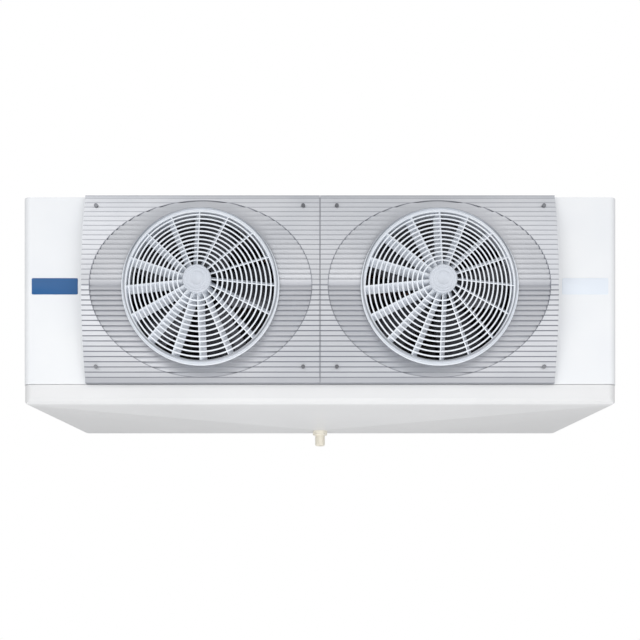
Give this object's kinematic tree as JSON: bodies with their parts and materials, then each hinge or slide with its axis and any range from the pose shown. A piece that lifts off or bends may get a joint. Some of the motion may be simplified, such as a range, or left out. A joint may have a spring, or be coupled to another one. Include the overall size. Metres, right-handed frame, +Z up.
{
  "type": "walk-in unit cooler",
  "caption": "Ceiling-hung unit cooler for a walk-in cold room: ribbed twin-fan front with ring guards, white end covers, finned coil and hinged drip tray with a drain.",
  "frame": {"origin": "centre of the four hanging slots, on the ceiling plane that the hangers' tops touch", "axes": "+X to the right as seen from the front, -Y the way the fans blow, +Z up to the ceiling"},
  "size_m": [1.5088, 0.686, 0.623],
  "materials": {
    "white_sheet": "white powder coat, satin",
    "silver_sheet": "ribbed sheet, satin",
    "galvanised": "galvanised, dull",
    "hinge_steel": "stainless, satin",
    "screw_steel": "zinc plated, dark",
    "guard_plastic": "white moulded plastic, satin",
    "cap_plastic": "white moulded plastic, gloss",
    "motor_paint": "black lacquer",
    "bearing_steel": "ground",
    "blade_metal": "pressed sheet, semi-gloss",
    "fin_metal": "mill finish",
    "copper": "copper tube, dull",
    "box_plastic": "grey moulded plastic",
    "gland_plastic": "black moulded plastic",
    "drain_plastic": "ivory moulded plastic"
  },
  "bodies": {
    "casing": {"cable_glands": "gland_plastic", "coil_fins": "fin_metal", "coil_tubes": "copper", "distributor": "copper", "feeder_tubes": "copper", "front_rail": "galvanised", "hanger_bolts": "screw_steel", "hub_caps": "cap_plastic", "inner_tray": "fin_metal", "left_end_cover": "white_sheet", "left_end_plate": "galvanised", "left_fan_guard": "guard_plastic", "left_fan_panel": "silver_sheet", "left_hanger": "galvanised", "liquid_line": "copper", "motor_bearings": "bearing_steel", "motor_screws": "screw_steel", "motor_stators": "motor_paint", "panel_screws": "screw_steel", "partition": "galvanised", "rear_rail": "galvanised", "return_bends": "copper", "right_end_cover": "white_sheet", "right_end_plate": "galvanised", "right_fan_guard": "guard_plastic", "right_fan_panel": "silver_sheet", "right_hanger": "galvanised", "suction_header": "copper", "top_panel": "white_sheet", "tray_hinge_leaves": "hinge_steel", "tray_hinge_pins": "hinge_steel", "tray_lugs": "galvanised", "tray_screws": "screw_steel", "wiring_box": "box_plastic", "wiring_box_lid": "box_plastic"},
    "tray": {"drip_tray": "white_sheet", "tray_hinge_straps": "hinge_steel", "drain_fitting": "drain_plastic", "drain_nut": "drain_plastic"},
    "left_fan": {"left_impeller": "blade_metal", "left_motor_shaft": "bearing_steel"},
    "right_fan": {"right_impeller": "blade_metal", "right_motor_shaft": "bearing_steel"}
  },
  "joints": [
    {"name": "left_fan_spin", "type": "hinge", "parent": "casing", "child": "left_fan", "pos_m": [-0.294, -0.306, -0.2705], "axis": [0, 1, 0], "continuous": true},
    {"name": "right_fan_spin", "type": "hinge", "parent": "casing", "child": "right_fan", "pos_m": [0.294, -0.306, -0.2705], "axis": [0, 1, 0], "continuous": true},
    {"name": "tray_hinge", "type": "hinge", "parent": "casing", "child": "tray", "pos_m": [0, 0.266, -0.5015], "axis": [1, 0, 0], "range_deg": [0, 75]}
  ]
}
